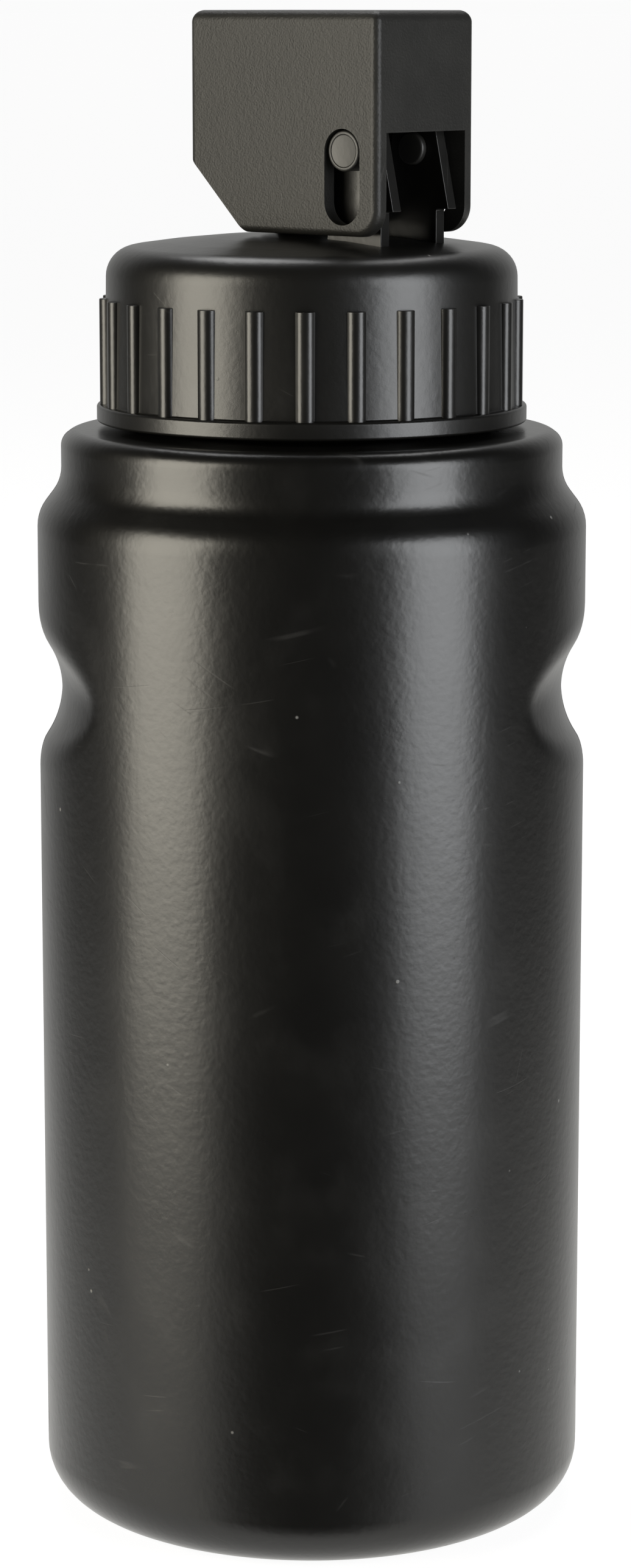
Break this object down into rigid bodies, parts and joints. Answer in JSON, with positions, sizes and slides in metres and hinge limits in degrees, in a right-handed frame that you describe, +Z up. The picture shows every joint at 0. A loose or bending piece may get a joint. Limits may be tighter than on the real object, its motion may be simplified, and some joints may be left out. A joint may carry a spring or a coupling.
{
  "type": "sports squeeze bottle",
  "caption": "Soft squeeze bottle with finger scoops, a ribbed screw cap, a pull-up spout and a hood that lifts and folds forward off it.",
  "frame": {"origin": "centre of the foot ring, on the surface the bottle stands on", "axes": "+Z up the bottle's axis; the hood folds forward towards -Y; the hinge axis lies along X"},
  "size_m": [0.073, 0.073, 0.2014],
  "materials": {
    "bottle_plastic": "satin black soft polyethylene, fine blow-moulding texture",
    "cap_plastic": "satin black polypropylene",
    "gasket_rubber": "matte grey silicone",
    "spout_plastic": "satin black polyethylene",
    "mouthpiece_rubber": "matte soft black elastomer",
    "hood_plastic": "matte fine-textured black polypropylene",
    "stud_plastic": "satin dark grey acetal"
  },
  "bodies": {
    "bottle": {"bottle_body": "bottle_plastic"},
    "gasket": {"cap_gasket": "gasket_rubber"},
    "cap": {"screw_cap": "cap_plastic"},
    "spout": {"spout_slider": "spout_plastic", "mouthpiece": "mouthpiece_rubber"},
    "studs": {"hinge_stud_left": "stud_plastic", "hinge_stud_right": "stud_plastic"},
    "hood": {"hood": "hood_plastic"}
  },
  "joints": [
    {"name": "cap_rise", "type": "slide", "parent": "bottle", "child": "gasket", "axis": [0, 0, 1], "range_m": [0, 0.00562]},
    {"name": "cap_turn", "type": "hinge", "parent": "gasket", "child": "cap", "pos_m": [0, 0, 0.16], "axis": [0, 0, 1], "range_deg": [0, 450]},
    {"name": "spout_pull", "type": "slide", "parent": "cap", "child": "spout", "axis": [0, 0, 1], "range_m": [0, 0.005]},
    {"name": "hood_flip", "type": "hinge", "parent": "cap", "child": "studs", "pos_m": [0, -0.01362, 0.18374], "axis": [1, 0, 0], "range_deg": [0, 118]},
    {"name": "hood_lift", "type": "slide", "parent": "studs", "child": "hood", "axis": [0, 0, 1], "range_m": [0, 0.0066]}
  ],
  "couplings": [
    {"joint": "cap_rise", "follows": "cap_turn", "m_per_rad": 0.0007162},
    {"joint": "hood_lift", "follows": "hood_flip", "m_per_rad": 0.0032046}
  ]
}
